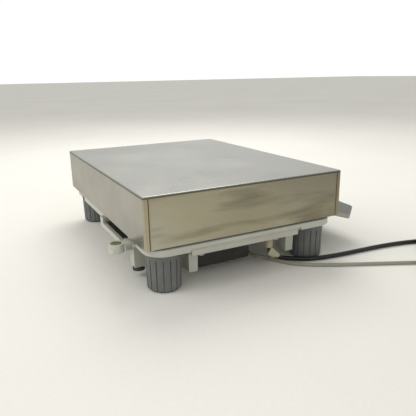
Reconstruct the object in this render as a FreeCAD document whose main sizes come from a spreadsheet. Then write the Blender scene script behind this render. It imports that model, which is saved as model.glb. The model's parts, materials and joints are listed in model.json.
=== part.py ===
import FreeCAD, Part
import math
import os

import Sketcher
from FreeCAD import Placement, Rotation, Vector

# A bench platform scale for weighing small animals. Millimetres, +Z up. The operator stands at -Y,
# where the console is. Z = 0 is the floor, and the origin is under the middle of the scale's box.
# Positions below are written from the middle of the load pan, which lies pan_y behind the origin.

SIZES = {
    # load pan: a box of folded sheet, open below
    "scale_height": 131.5,
    "pan_long": 400,
    "pan_wide": 300,
    "pan_skirt": 67,
    "pan_sheet": 1.2,
    "pan_bend": 2,
    "seam_inset": 7,
    "pan_y": 26.2,
    # base casting: a ledge under the pan, wider than it on the left only, a lower tier, and
    # deeper caps over the feet
    "rim_left": 204,
    "rim_right": 192,
    "rim_rear": 146,
    "rim_front": 141,
    "rim_top": 63,
    "lip_base": 57.5,
    "cap_base": 54,
    "tier_base": 48,
    "tier_inset": 3,
    "rim_corner": 27,
    "wall": 4,
    "deck_base": 58,
    "notch_long": 141,
    "notch_rear": 92,
    "notch_front": 79,
    "upstand_inset": 16,
    "upstand_top": 65.5,
    "panel_top": 76,
    "post_thick": 14,
    "post_deep": 27,
    "post_inset": 20,
    "post_base": 15,
    "rear_post_x": 121,
    "rear_post_y": 133,
    "rear_post_half": 9,
    # levelling feet
    "foot_inset_long": 30,
    "foot_inset_wide": 34.5,
    "knob_radius": 23.6,
    "knob_base": 2,
    "knob_top": 52.5,
    "flute_top": 44,
    "flute_count": 16,
    "sole_radius": 19.2,
    "sole_height": 4.4,
    "stud_radius": 5,
    "stud_base": 10,
    "stud_length": 66,
    # single-point load cell and what it carries
    "cell_long": 150,
    "cell_wide": 40,
    "cell_tall": 36,
    "cell_base": 68,
    "cell_plate": 6,
    "support_thick": 8,
    "support_long": 360,
    "rail_y": 115,
    "rail_wide": 30,
    "buffer_x": 165,
    "buffer_radius": 11,
    "stop_x": 140,
    "stop_gap": 0.55,
    "boss_top": 92,
    # bottom cover and electronics tray
    "cover_thick": 1.5,
    "cover_inset": 3,
    "tray_left": 163,
    "tray_right": 60,
    "tray_front": 21,
    "tray_rear": 69,
    "tray_base": 12,
    "tray_wall": 2,
    "tray_flange": 10,
    "tray_flange_inset": 13,
    # connector bay in the rear rim, and the spirit level beside it
    "bay_near": 122,
    "bay_far": 17,
    "bay_depth": 25,
    "bay_floor": 50,
    "bay_base": 41,
    "vial_x": 146.5,
    "vial_y": 169.3,
    "vial_radius": 10.2,
    "vial_bore": 7.3,
    "vial_tall": 11,
    # console
    "console_long": 306,
    "console_rear": 155,
    "console_front": 232.1,
    "console_front_part": 228.4,
    "console_front_base": 226.8,
    "console_top_rear": 85.6,
    "console_top_front": 52.1,
    "console_base_front": 31.8,
    "console_base_rear": 55.1,
    "console_part_front": 37.9,
    "console_part_rear": 64.2,
    "console_wall": 2.5,
    "bracket_thick": 4,
    "key_long": 22,
    "key_wide": 13,
    # cords
    "mains_cord": 6.5,
    "data_cord": 5,
}

KEYS = ["power_key", "zero_key", "tare_key", "hold_key", "print_key"]
CORNERS = {
    "rear_left": (-1, 1),
    "rear_right": (1, 1),
    "front_left": (-1, -1),
    "front_right": (1, -1),
}

# Routes of the two cords' centre lines, from the exit to the coil, X and Y from the pan's middle.
MAINS_ROUTE = [
    (-175, -45, 27),
    (-174.6, -46.5, 21.5),
    (-173, -50.5, 15.5),
    (-170.8, -57, 10),
    (-170.5, -65.5, 5),
    (-174, -73, 3.25),
    (-181, -80, 3.25),
    (-188, -89, 3.25),
    (-195, -101, 3.25),
    (-199.8, -116, 3.25),
    (-203, -135, 3.25),
    (-205.5, -159, 3.25),
    (-207, -186, 3.25),
    (-208.5, -216, 3.25),
    (-211.5, -246, 3.25),
    (-216, -273, 3.25),
    (-222.5, -298, 3.25),
    (-232, -331.7, 3.25),
]
MAINS_COIL = (-273.3, -320.1)
DATA_ROUTE = [
    (-110, -31, 17),
    (-110.6, -34, 16.4),
    (-113, -36.8, 13.8),
    (-117.5, -38.3, 9.8),
    (-123.5, -38.6, 5.8),
    (-130, -38.8, 3.2),
    (-137.5, -40.2, 2.5),
    (-145.5, -44, 2.5),
    (-153.5, -49, 2.5),
    (-163, -54, 2.5),
    (-174, -58.8, 2.5),
    (-187, -65.5, 2.5),
    (-200, -75.5, 2.5),
    (-211.5, -90, 2.5),
    (-222, -107, 2.5),
    (-232, -126, 2.5),
    (-242, -147, 2.5),
    (-251.5, -167.5, 2.5),
    (-261.5, -188, 2.5),
    (-271, -208, 2.5),
    (-280.5, -227.5, 2.5),
    (-295.4, -258.1, 2.5),
]
DATA_COIL = (-325.1, -243.6)
COIL_RADIUS_IN_CORDS = 5.6
TAIL_IN_CORDS = 8


class Size:
    """A length in mm together with the sheet's formula for it."""

    def __init__(self, value, formula):
        self.value = value
        self.formula = formula

    def __add__(self, other):
        return Size(self.value + value(other), f"({self.formula} + {formula(other)})")

    def __radd__(self, other):
        return Size(value(other) + self.value, f"({formula(other)} + {self.formula})")

    def __sub__(self, other):
        return Size(self.value - value(other), f"({self.formula} - {formula(other)})")

    def __rsub__(self, other):
        return Size(value(other) - self.value, f"({formula(other)} - {self.formula})")

    def __mul__(self, factor):
        return Size(self.value * value(factor), f"({self.formula} * {formula(factor)})")

    def __rmul__(self, factor):
        return self * factor

    def __truediv__(self, divisor):
        return Size(self.value / value(divisor), f"({self.formula} / {formula(divisor)})")

    def __neg__(self):
        return Size(-self.value, f"(-1 * {self.formula})")


def value(size):
    return size.value if isinstance(size, Size) else float(size)


def formula(size):
    return size.formula if isinstance(size, Size) else f"{float(size):.6f}"


class Sizes:
    """The driving dimensions, one attribute for each cell of the sheet."""

    def __init__(self, sheet):
        for row, (name, number) in enumerate(SIZES.items(), 1):
            sheet.set(f"A{row}", name)
            sheet.set(f"B{row}", str(number))
            sheet.setAlias(f"B{row}", name)
            setattr(self, name, Size(float(number), f"size.{name}"))


doc = FreeCAD.newDocument("animal_scale")
S = Sizes(doc.addObject("Spreadsheet::Sheet", "size"))
doc.recompute()
subparts = []


def bind(obj, prop, size):
    """Set a property from a size, with the sheet's formula where there is one."""
    if "." not in prop and "[" not in prop:
        setattr(obj, prop, value(size))
    if isinstance(size, Size):
        obj.setExpression(prop, size.formula)


def place(obj, x, y, z, rotation=None):
    obj.Placement = Placement(Vector(value(x), value(y), value(z)), rotation or Rotation())
    for axis, size in zip("xyz", (x, y, z)):
        bind(obj, f"Placement.Base.{axis}", size)
    return obj


def node(obj, label, x=0, y=0, z=0, rotation=None):
    """Register a finished sub-part: name it and move it from the pan's frame to the scale's."""
    obj.Label = label
    place(obj, x, y + S.pan_y, z, rotation)
    subparts.append(obj)
    return obj


# --- Part primitives ---------------------------------------------------------------------------


def box(low, high, name="box"):
    """A box from its lowest corner to its highest."""
    made = doc.addObject("Part::Box", name)
    for prop, a, b in zip(("Length", "Width", "Height"), low, high):
        bind(made, prop, b - a)
    return place(made, *low)


def rod(x, y, low, high, radius, name="rod"):
    """An upright cylinder."""
    made = doc.addObject("Part::Cylinder", name)
    bind(made, "Radius", radius)
    bind(made, "Height", high - low)
    return place(made, x, y, low)


def lying_rod(start, length, radius, direction, name="rod"):
    """A cylinder from a point along a direction."""
    made = doc.addObject("Part::Cylinder", name)
    bind(made, "Radius", radius)
    bind(made, "Height", length)
    return place(made, *start, Rotation(Vector(0, 0, 1), Vector(*direction)))


def fuse(shapes, name="fuse"):
    made = doc.addObject("Part::MultiFuse", name)
    made.Shapes = shapes
    return made


def cut(base, tools, name="cut"):
    made = doc.addObject("Part::Cut", name)
    made.Base = base
    made.Tool = tools[0] if len(tools) == 1 else fuse(tools)
    return made


def group(shapes, name="group"):
    made = doc.addObject("Part::Compound", name)
    made.Links = shapes
    return made


def screw(x, y, seat, shank, length, head, thick, up=True, name="screw"):
    """An upright socket screw: seat is the height of the face that its head bears on."""
    way = 1 if up else -1
    tip, back = seat + way * length, seat - way * thick
    socket = seat - way * thick * 0.4
    body = fuse(
        [
            rod(x, y, *ordered(seat, tip), shank),
            rod(x, y, *ordered(back, seat), head),
        ]
    )
    return cut(body, [rod(x, y, *ordered(back, socket), head * 0.5)], name)


def ordered(a, b):
    return (a, b) if value(a) < value(b) else (b, a)


# --- PartDesign features -----------------------------------------------------------------------


def new_body(name):
    return doc.addObject("PartDesign::Body", name)


def sketch_on(body, role="XY_Plane", offset=0, tilt=None, origin=None):
    """A sketch on one of the body's origin planes, moved off it, or tilted about X at a point."""
    plane = [f for f in body.Origin.OriginFeatures if f.Role == role][0]
    sketch = body.newObject("Sketcher::SketchObject", "sketch")
    sketch.AttachmentSupport = [(plane, "")]
    sketch.MapMode = "FlatFace"
    if tilt is None:
        sketch.AttachmentOffset = Placement(Vector(0, 0, value(offset)), Rotation())
        bind(sketch, "AttachmentOffset.Base.z", offset)
    else:
        sketch.AttachmentOffset = Placement(
            Vector(0, value(origin[0]), value(origin[1])), Rotation(Vector(1, 0, 0), tilt)
        )
        bind(sketch, "AttachmentOffset.Base.y", origin[0])
        bind(sketch, "AttachmentOffset.Base.z", origin[1])
    return sketch


def pin_point(sketch, geometry, point, x, y):
    """Hold a sketch point at a place that follows the sheet."""
    for kind, size in (("DistanceX", x), ("DistanceY", y)):
        rule = Sketcher.Constraint(kind, -1, 1, geometry, point, value(size))
        index = sketch.addConstraint(rule)
        bind(sketch, f"Constraints[{index}]", size)


def add_outline(sketch, points):
    """A closed outline of straight lines."""
    first = sketch.GeometryCount
    corners = [Vector(value(x), value(y), 0) for x, y in points]
    count = len(points)
    for i in range(count):
        sketch.addGeometry(Part.LineSegment(corners[i], corners[(i + 1) % count]))
    for i in range(count):
        after = first + (i + 1) % count
        sketch.addConstraint(Sketcher.Constraint("Coincident", first + i, 2, after, 1))
    for i, (x, y) in enumerate(points):
        pin_point(sketch, first + i, 1, x, y)
    return sketch


def add_circle(sketch, x, y, radius):
    centre = Vector(value(x), value(y), 0)
    index = sketch.addGeometry(Part.Circle(centre, Vector(0, 0, 1), value(radius)))
    rule = sketch.addConstraint(Sketcher.Constraint("Radius", index, value(radius)))
    bind(sketch, f"Constraints[{rule}]", radius)
    pin_point(sketch, index, 3, x, y)
    return sketch


def rectangle(x0, y0, x1, y1):
    return [(x0, y0), (x1, y0), (x1, y1), (x0, y1)]


def centred(long, wide):
    return rectangle(-long / 2, -wide / 2, long / 2, wide / 2)


def feature(body, kind, sketch, length, back=False, both_ways=False):
    """A pad or pocket. Raises if it left the body's volume as it was."""
    doc.recompute()
    before = body.Shape.Volume if body.Tip else 0
    made = body.newObject(f"PartDesign::{kind}", kind.lower())
    made.Profile = sketch
    bind(made, "Length", length)
    made.Reversed = back
    if both_ways:
        made.SideType = "Symmetric"
    doc.recompute()
    if abs(body.Shape.Volume - before) < 0.01:
        raise RuntimeError(f"{kind} on {body.Name} changed nothing")
    return made


def pad(body, sketch, length, **ways):
    return feature(body, "Pad", sketch, length, **ways)


def pocket(body, sketch, length, **ways):
    return feature(body, "Pocket", sketch, length, **ways)


def fillet(body, radius, test):
    """Round the edges of the body's last feature whose middle point and direction pass a test."""
    doc.recompute()
    names = []
    for i, edge in enumerate(body.Tip.Shape.Edges, 1):
        middle = edge.valueAt((edge.FirstParameter + edge.LastParameter) / 2)
        along = edge.tangentAt((edge.FirstParameter + edge.LastParameter) / 2)
        if test(middle, along):
            names.append(f"Edge{i}")
    made = body.newObject("PartDesign::Fillet", "fillet")
    made.Base = (body.Tip if body.Tip != made else made.BaseFeature, names)
    bind(made, "Radius", radius)
    doc.recompute()
    return made


def upright(middle, along):
    return abs(along.z) > 0.999


def level(along):
    return abs(along.z) < 0.01


def at_height(z):
    return lambda middle, along: abs(middle.z - value(z)) < 0.01


# --- pan ---------------------------------------------------------------------------------------


def load_pan():
    body = new_body("load_pan")
    base = S.scale_height - S.pan_skirt
    outline = centred(S.pan_long, S.pan_wide)
    pad(body, add_outline(sketch_on(body, offset=base), outline), S.pan_skirt)
    fillet(body, S.pan_bend, upright)
    fillet(body, S.pan_bend * 0.8, at_height(S.scale_height))
    inside = centred(S.pan_long - 2 * S.pan_sheet, S.pan_wide - 2 * S.pan_sheet)
    room = add_outline(sketch_on(body, offset=base), inside)
    pocket(body, room, S.pan_skirt - S.pan_sheet, back=True)
    # lap seams: the long skirts are folded round each corner and end in a fine groove
    seams = sketch_on(body, offset=base)
    end, side, groove = S.pan_long / 2, S.pan_wide / 2 - S.seam_inset, 0.6
    for sx in (-1, 1):
        for sy in (-1, 1):
            xs = ordered(sx * (end - 0.5), sx * (end + 1))
            ys = ordered(sy * side, sy * (side + groove))
            add_outline(seams, rectangle(xs[0], ys[0], xs[1], ys[1]))
    pocket(body, seams, S.pan_skirt - 2 * S.pan_bend, back=True)
    node(body, "load_pan")


# --- weighing platform -------------------------------------------------------------------------

CELL_BOLTS = [(50, -11), (68, -11), (50, 11), (68, 11)]
BOLT_HOLE = 4.05


def load_cell():
    """Binocular bending beam: two bores joined by a slot, threaded at both ends."""
    body = new_body("load_cell")
    outline = centred(S.cell_long, S.cell_wide)
    pad(body, add_outline(sketch_on(body, offset=S.cell_base), outline), S.cell_tall)
    fillet(body, 1, upright)
    middle = S.cell_base + S.cell_tall / 2
    bores = sketch_on(body, "XZ_Plane")
    for x in (-18, 18):
        add_circle(bores, x, middle, 13)
    pocket(body, bores, S.cell_wide + 2, both_ways=True)
    slot = add_outline(sketch_on(body, "XZ_Plane"), rectangle(-18, middle - 5, 18, middle + 5))
    pocket(body, slot, S.cell_wide + 2, both_ways=True)
    fixed, free = sketch_on(body, offset=S.cell_base), sketch_on(body, offset=S.cell_base + S.cell_tall)
    for x, y in CELL_BOLTS:
        add_circle(fixed, -x, y, BOLT_HOLE)
        add_circle(free, x, y, BOLT_HOLE)
    pocket(body, fixed, 17, back=True)
    pocket(body, free, 17)
    node(body, "load_cell")


def cell_plate_and_bolts():
    top = S.cell_base + S.cell_tall
    plate = box((42, -25, top), (76, 25, top + S.cell_plate))
    holes = [rod(x, y, top - 1, top + S.cell_plate + 1, BOLT_HOLE) for x, y in CELL_BOLTS]
    node(cut(plate, holes), "cell_upper_plate")
    seat = top + S.cell_plate + S.support_thick
    long = S.cell_plate + S.support_thick + 15
    upper = [screw(x, y, seat, 4, long, 6.5, 7.5, up=False) for x, y in CELL_BOLTS]
    node(group(upper), "cell_upper_bolts")
    long = S.cell_base - S.deck_base + 15
    lower = [screw(-x, y, S.deck_base, 4, long, 6.5, 7.5) for x, y in CELL_BOLTS]
    node(group(lower), "cell_lower_bolts")


def pan_support():
    """Cast frame under the pan: a middle plate, two rails and four raised pads."""
    body = new_body("pan_support")
    base = S.cell_base + S.cell_tall + S.cell_plate
    plate = rectangle(-20, -S.rail_y, 85, S.rail_y)
    pad(body, add_outline(sketch_on(body, offset=base), plate), S.support_thick)
    rails = sketch_on(body, offset=base)
    for side in (-1, 1):
        middle = side * S.rail_y
        near, far = middle - S.rail_wide / 2, middle + S.rail_wide / 2
        add_outline(rails, rectangle(-S.support_long / 2, near, S.support_long / 2, far))
    pad(body, rails, S.support_thick)
    fillet(body, 10, upright)
    pads = sketch_on(body, offset=base + S.support_thick)
    for sx in (-1, 1):
        for sy in (-1, 1):
            add_circle(pads, sx * S.buffer_x, sy * S.rail_y, S.buffer_radius + 2)
    pad(body, pads, 2)
    holes = sketch_on(body, offset=base)
    for x, y in CELL_BOLTS:
        add_circle(holes, x, y, BOLT_HOLE)
    pocket(body, holes, S.support_thick, back=True)
    windows = sketch_on(body, offset=base)
    for side in (-1, 1):
        near, far = ordered(side * 36, side * 90)
        add_outline(windows, rectangle(0, near, 65, far))
    pocket(body, windows, S.support_thick, back=True)
    node(body, "pan_support")


def pan_buffers():
    low = S.cell_base + S.cell_tall + S.cell_plate + S.support_thick + 2
    high = S.scale_height - S.pan_sheet
    made = []
    for sx in (-1, 1):
        for sy in (-1, 1):
            made.append(rod(sx * S.buffer_x, sy * S.rail_y, low, high, S.buffer_radius))
    node(group(made), "pan_buffers")


def overload_stops():
    """Set screws with lock nuts, just below the frame's rails."""
    top = S.cell_base + S.cell_tall + S.cell_plate - S.stop_gap
    screws, nuts = [], []
    for sx in (-1, 1):
        for sy in (-1, 1):
            x, y = sx * S.stop_x, sy * S.rail_y
            screws.append(rod(x, y, S.boss_top - 14, top, 4))
            nut = doc.addObject("Part::Prism", "nut")
            nut.Polygon = 6
            nut.Circumradius = 7.5
            nut.Height = 6.5
            place(nut, x, y, S.boss_top)
            nuts.append(cut(nut, [rod(x, y, S.boss_top - 1, S.boss_top + 8, BOLT_HOLE)]))
    node(group(screws), "overload_stops")
    node(group(nuts), "stop_lock_nuts")


# --- base --------------------------------------------------------------------------------------

COVER_SCREWS = [(-192, 72), (-192, -44), (180, 58), (180, -44)]
COVER_SCREWS += [(-90, -129), (90, -129), (16, 134), (90, 134)]
BRACKET_X = (30, 75)
BRACKET_Z = 51.5


def foot_centre(sx, sy):
    return sx * (S.pan_long / 2 - S.foot_inset_long), sy * (S.pan_wide / 2 - S.foot_inset_wide)


def cross(inset):
    """The rim's outline, set in, with its four corners cut out for the feet."""
    left, right = -S.rim_left + inset, S.rim_right - inset
    front, rear = -S.rim_front + inset, S.rim_rear - inset
    c, d, e = S.notch_long - inset, S.notch_rear - inset, inset - S.notch_front
    return [
        (left, e), (-c, e), (-c, front), (c, front), (c, e), (right, e),
        (right, d), (c, d), (c, rear), (-c, rear), (-c, d), (left, d),
    ]  # fmt: skip


def base_casting():
    body = new_body("base_casting")
    # ledge, and the deeper caps over the feet
    ledge = rectangle(-S.rim_left, -S.rim_front, S.rim_right, S.rim_rear)
    pad(body, add_outline(sketch_on(body, offset=S.cap_base), ledge), S.rim_top - S.cap_base)
    fillet(body, S.rim_corner, upright)
    sides = sketch_on(body, offset=S.cap_base)
    long, near, far = S.notch_long, -S.notch_front, S.notch_rear
    step, past = S.tier_inset, 5
    add_outline(sides, rectangle(-long, -S.rim_front - past, long, -S.rim_front + step))
    add_outline(sides, rectangle(-long, S.rim_rear - step, long, S.rim_rear + past))
    add_outline(sides, rectangle(-S.rim_left - past, near, -S.rim_left + step, far))
    add_outline(sides, rectangle(S.rim_right - step, near, S.rim_right + past, far))
    pocket(body, sides, S.lip_base - S.cap_base, back=True)
    fillet(body, 2.2, at_height(S.rim_top))
    fillet(body, 1.2, lambda m, t: m.z < value(S.lip_base) + 0.01 and level(t) and outermost(m))
    # lower tier with open corners for the feet
    tier = add_outline(sketch_on(body, offset=S.tier_base), cross(S.tier_inset))
    pad(body, tier, S.cap_base - S.tier_base)
    # drip upstand inside the pan's skirt
    up_long, up_wide = S.pan_long - 2 * S.upstand_inset, S.pan_wide - 2 * S.upstand_inset
    upstand = add_outline(sketch_on(body, offset=S.rim_top), centred(up_long, up_wide))
    add_outline(upstand, centred(up_long - 2 * S.wall, up_wide - 2 * S.wall))
    pad(body, upstand, S.upstand_top - S.rim_top)
    # hollow underside
    room = add_outline(sketch_on(body, offset=S.tier_base), cross(S.tier_inset + S.wall))
    pocket(body, room, S.deck_base - S.tier_base, back=True)
    bosses_and_posts(body)
    connector_bay(body)
    vial_lug(body)
    holes_in_base(body)
    node(body, "base_casting")


def outermost(point):
    """Whether a point is on the rim's outer edge."""
    from_side = min(point.x + value(S.rim_left), value(S.rim_right) - point.x)
    from_end = min(point.y + value(S.rim_front), value(S.rim_rear) - point.y)
    corner = value(S.rim_corner)
    return min(from_side, from_end) < 0.5 or (from_side < corner and from_end < corner)


def bosses_and_posts(body):
    pedestal = rectangle(-77, -26, -40, 26)
    pad(body, add_outline(sketch_on(body, offset=S.rim_top), pedestal), S.cell_base - S.rim_top)
    stops, collars = sketch_on(body, offset=S.rim_top), sketch_on(body, offset=S.rim_top)
    for sx, sy in CORNERS.values():
        add_circle(stops, sx * S.stop_x, sy * S.rail_y, 9)
        add_circle(collars, *foot_centre(sx, sy), 14)
    pad(body, stops, S.boss_top - S.rim_top)
    pad(body, collars, S.upstand_top - S.rim_top)
    blocks = sketch_on(body, offset=S.tier_base)
    for x, y in COVER_SCREWS:
        add_outline(blocks, rectangle(x - 6, y - 6, x + 6, y + 6))
    pad(body, blocks, S.deck_base - S.tier_base)
    # drafted posts beside the feet, two on each short side and one by the rear left foot
    posts = sketch_on(body, offset=S.deck_base)
    for x0, x1, y0, y1 in post_places():
        add_outline(posts, rectangle(x0, y0, x1, y1))
    made = pad(body, posts, S.deck_base - S.post_base, back=True)
    made.TaperAngle = -1.2
    doc.recompute()
    fillet(body, 2, lambda m, t: abs(m.z - value(S.post_base)) < 0.5)


def post_places():
    edge = S.pan_long / 2 - S.post_inset
    side = S.notch_rear - 7.5
    for sx in (-1, 1):
        xs = ordered(sx * edge, sx * (edge - S.post_deep))
        for sy in (-1, 1):
            ys = ordered(sy * side, sy * (side - S.post_thick))
            yield xs[0], xs[1], ys[0], ys[1]
    x, y, half = -S.rear_post_x, S.rear_post_y, S.rear_post_half
    yield x - half, x + half, y - half, y + half


def connector_bay(body):
    """A bay through the rear rim, with a deeper bar below it and a wall at each end."""
    rear = S.pan_wide / 2 + 1.5
    back = rear - S.bay_depth
    bar = rectangle(-S.bay_near - 4, back, -S.bay_far + 14, rear)
    pad(body, add_outline(sketch_on(body, offset=S.bay_base), bar), S.deck_base - S.bay_base)
    fillet(body, 2, lambda m, t: abs(m.z - value(S.bay_base)) < 0.01)
    opening = rectangle(-S.bay_near, back, -S.bay_far, rear + 10)
    pocket(body, add_outline(sketch_on(body, offset=S.bay_floor), opening), 30, back=True)


def vial_lug(body):
    top = S.rim_top - 0.5
    ring = add_circle(sketch_on(body, offset=top), -S.vial_x, S.vial_y, S.vial_radius)
    pad(body, ring, S.vial_tall, back=True)
    arm = rectangle(-S.vial_x - 6, S.rim_rear - 5, -S.vial_x + 6, S.vial_y - 4)
    pad(body, add_outline(sketch_on(body, offset=top), arm), 4, back=True)
    seat = add_circle(sketch_on(body, offset=top), -S.vial_x, S.vial_y, S.vial_bore)
    pocket(body, seat, S.vial_tall - 2)


def holes_in_base(body):
    bolts = sketch_on(body, offset=S.deck_base)
    for x, y in CELL_BOLTS:
        add_circle(bolts, -x, y, BOLT_HOLE)
    pocket(body, bolts, S.cell_base - S.deck_base, back=True)
    stops = sketch_on(body, offset=S.boss_top)
    bushes = sketch_on(body, offset=S.cap_base)
    for sx, sy in CORNERS.values():
        add_circle(stops, sx * S.stop_x, sy * S.rail_y, BOLT_HOLE)
        add_circle(bushes, *foot_centre(sx, sy), 9)
    pocket(body, stops, 15)
    pocket(body, bushes, 20, back=True)
    covers = sketch_on(body, offset=S.tier_base)
    for x, y in COVER_SCREWS:
        add_circle(covers, x, y, 2.05)
    pocket(body, covers, 9, back=True)
    bracket = sketch_on(body, "XZ_Plane", offset=S.rim_front + 1)
    for side in (-1, 1):
        for x in BRACKET_X:
            add_circle(bracket, side * x, BRACKET_Z, 2.05)
    pocket(body, bracket, 10)


def bottom_cover():
    """Flat steel plate that closes the casting from below."""
    body = new_body("bottom_cover")
    outline = cross(S.tier_inset + S.cover_inset)
    low = S.tier_base - S.cover_thick
    pad(body, add_outline(sketch_on(body, offset=low), outline), S.cover_thick)
    holes = sketch_on(body, offset=low)
    for x, y in COVER_SCREWS:
        add_circle(holes, x, y, 2.2)
    for x, y in tray_screw_places():
        add_circle(holes, x, y, 1.6)
    add_circle(holes, -60, 30, 12)
    for x0, x1, y0, y1 in post_places():
        add_outline(holes, rectangle(x0 - 2, y0 - 2, x1 + 2, y1 + 2))
    pocket(body, holes, S.cover_thick, back=True)
    rear = S.pan_wide / 2 + 1.5
    bay = rectangle(-S.bay_near - 5, rear - S.bay_depth - 1, -S.bay_far + 15, rear + 1)
    pocket(body, add_outline(sketch_on(body, offset=low), bay), S.cover_thick, back=True)
    node(body, "bottom_cover")


def cover_screws():
    seat = S.tier_base - S.cover_thick
    made = [screw(x, y, seat, 2, 9, 4.2, 2.8) for x, y in COVER_SCREWS]
    node(group(made), "cover_screws")


def foot_bushes():
    made = []
    for sx, sy in CORNERS.values():
        x, y = foot_centre(sx, sy)
        outer = rod(x, y, S.cap_base, S.cap_base + 16, 9)
        bore = rod(x, y, S.cap_base - 1, S.cap_base + 17, S.stud_radius + 0.05)
        made.append(cut(outer, [bore]))
    node(group(made), "foot_bushes")


def underside_bumper():
    """Rubber rest under the rear post, clear of the floor, that stops the scale from tipping."""
    pad_low = rod(-S.rear_post_x, S.rear_post_y, S.post_base - 5, S.post_base, 8.5)
    node(group([pad_low]), "tilt_bumper")


# --- electronics tray and what it holds ----------------------------------------------------------


def tray_screw_places():
    inset, out = S.tray_flange_inset + 6, S.tray_flange / 2
    for x in (-S.tray_left + inset, S.tray_right - inset):
        for y in (-S.tray_front - out, S.tray_rear + out):
            yield x, y


def electronics_tray():
    """Deep black tray below the cover, with a flange along its front and rear."""
    body = new_body("electronics_tray")
    top = S.tier_base - S.cover_thick
    outline = rectangle(-S.tray_left, -S.tray_front, S.tray_right, S.tray_rear)
    pad(body, add_outline(sketch_on(body, offset=S.tray_base), outline), top - S.tray_base)
    fillet(body, 6, upright)
    fillet(body, 2, at_height(S.tray_base))
    inset, out = S.tray_flange_inset, S.tray_flange
    flange = rectangle(
        -S.tray_left + inset, -S.tray_front - out, S.tray_right - inset, S.tray_rear + out
    )
    pad(body, add_outline(sketch_on(body, offset=top), flange), S.tray_wall, back=True)
    wall = S.tray_wall
    room = rectangle(
        -S.tray_left + wall, -S.tray_front + wall, S.tray_right - wall, S.tray_rear - wall
    )
    pocket(body, add_outline(sketch_on(body, offset=top), room), top - S.tray_base - wall)
    holes = sketch_on(body, offset=top)
    for x, y in tray_screw_places():
        add_circle(holes, x, y, 1.6)
    pocket(body, holes, wall)
    x, _, z = DATA_ROUTE[0]
    gland = add_circle(sketch_on(body, "XZ_Plane", offset=S.tray_front + 1), x, z, 3.6)
    pocket(body, gland, wall + 2)
    node(body, "electronics_tray")


def tray_screws():
    seat = S.tier_base - S.cover_thick - S.tray_wall
    made = [screw(x, y, seat, 1.5, 7, 3, 2) for x, y in tray_screw_places()]
    node(group(made), "tray_screws")


BOARD = (-150, -6, -40, 64)


def circuit_board():
    floor = S.tray_base + S.tray_wall
    x0, y0, x1, y1 = BOARD
    pins = [(x, y) for x in (x0 + 5, x1 - 5) for y in (y0 + 5, y1 - 5)]
    board = box((x0, y0, floor + 6), (x1, y1, floor + 7.6))
    holes = [rod(x, y, floor + 5, floor + 9, 1.6) for x, y in pins]
    chips = [
        box((x0 + 25, y0 + 25, floor + 7.6), (x0 + 39, y0 + 39, floor + 9.4)),
        box((x0 + 60, y0 + 15, floor + 7.6), (x0 + 80, y0 + 23, floor + 12)),
        box((x0 + 55, y0 + 50, floor + 7.6), (x0 + 95, y0 + 62, floor + 16)),
    ]
    node(fuse([cut(board, holes), *chips]), "circuit_board")
    posts = []
    for x, y in pins:
        stem = rod(x, y, floor, floor + 6, 3)
        tip = rod(x, y, floor + 6, floor + 10, 1.5)
        posts.append(fuse([stem, tip]))
    node(group(posts), "board_standoffs")


def power_transformer():
    floor = S.tray_base + S.tray_wall
    core = box((-5, 10, floor), (43, 50, floor + 14))
    coil = box((3, 14, floor + 14), (35, 46, floor + 24))
    node(fuse([core, coil]), "power_transformer")


def connector_panel():
    rear = S.pan_wide / 2 + 1.5
    back = rear - S.bay_depth
    near, far = -S.bay_near + 0.1, -S.bay_far - 0.1
    sheet = box((near, back, S.bay_floor), (far, back + 3, S.panel_top))
    flange = box((near, back, S.bay_floor), (far, rear - 5, S.bay_floor + 1))
    node(fuse([sheet, flange]), "connector_panel")
    face = back + 3
    wide = fuse(
        [
            box((-104, face, 54), (-70, face + 1.5, 65)),
            box((-98, face + 1.5, 55.5), (-76, face + 6, 63.5)),
        ]
    )
    posts = [
        lying_rod((x, face + 1.5, 59.5), 5, 2, (0, 1, 0)) for x in (-101.3, -72.7)
    ]
    ring = lying_rod((-52, face, 59), 6, 7, (0, 1, 0))
    bore = lying_rod((-52, face + 2, 59), 6, 5, (0, 1, 0))
    node(group([fuse([wide, *posts]), cut(ring, [bore])]), "panel_sockets")


def spirit_level():
    top = S.rim_top - 1
    low = top - S.vial_tall + 2.5
    outer = rod(-S.vial_x, S.vial_y, low, top, S.vial_bore - 0.1)
    room = rod(-S.vial_x, S.vial_y, low + 2, top + 1, 6)
    node(cut(outer, [room]), "level_vial")
    node(group([rod(-S.vial_x, S.vial_y, top - 1.6, top, 6)]), "level_window")


# --- console -------------------------------------------------------------------------------------


def line(rear, front, reach):
    """Height of one of the console's long lines at a distance in front of the pan's middle."""
    fall = (value(rear) - value(front)) / (value(reach) - value(S.console_rear))
    return lambda y: value(rear) - fall * (y - value(S.console_rear))


top_height = line(S.console_top_rear, S.console_top_front, S.console_front)
part_height = line(S.console_part_rear, S.console_part_front, S.console_front_part)
base_height = line(S.console_base_rear, S.console_base_front, S.console_front_base)

FACE_SLOPE = math.atan(top_height(0) - top_height(1))
BASE_SLOPE = math.atan(base_height(0) - base_height(1))
FACE_TURN = Rotation(Vector(1, 0, 0), math.degrees(FACE_SLOPE))
BASE_TURN = Rotation(Vector(1, 0, 0), math.degrees(BASE_SLOPE))
FACE_Y = 193.5
SCREW_ROWS = (172, 212)
SCREW_X = 122
SHELF_Y = 180
WINDOW = (-118, -18, 100, 36)
KEY_PITCH = 27.5
FIRST_KEY = 2
KEY_LINE = -4


def on_face(x, up, out):
    """A point given along the console's face, up its slope and out of it."""
    y = -FACE_Y + up * math.cos(FACE_SLOPE) - out * math.sin(FACE_SLOPE)
    z = top_height(FACE_Y) + up * math.sin(FACE_SLOPE) + out * math.cos(FACE_SLOPE)
    return x, y, z


def face_sketch(body):
    """A sketch on the console's face, its origin in the middle."""
    x, y, z = on_face(0, 0, 0)
    return sketch_on(body, tilt=math.degrees(FACE_SLOPE), origin=(y, z))


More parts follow.
